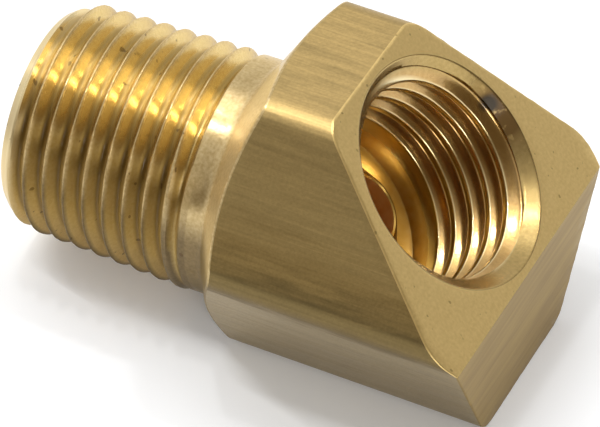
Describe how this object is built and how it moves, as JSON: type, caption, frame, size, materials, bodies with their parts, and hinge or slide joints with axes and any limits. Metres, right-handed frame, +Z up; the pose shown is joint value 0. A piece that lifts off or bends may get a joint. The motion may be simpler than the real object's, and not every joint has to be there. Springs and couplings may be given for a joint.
{
  "type": "flare fitting",
  "caption": "Forty-five degree brass elbow cut from hexagon bar, with a tapered male pipe thread at one end and a threaded inverted-flare port with a pressed-in seat at the other.",
  "frame": {"origin": "on the bottom flat's plane, under the middle of the bounding box", "axes": "+X along the pipe thread's axis towards the port end, +Y across the hexagon's corners, +Z up from the bottom flat"},
  "size_m": [0.0222, 0.0152, 0.0135],
  "materials": {
    "drawn_brass": "drawn and machined, slightly dulled",
    "turned_brass": "fine turned"
  },
  "bodies": {
    "root": {"elbow_body": "drawn_brass", "flare_seat": "turned_brass"}
  },
  "joints": []
}
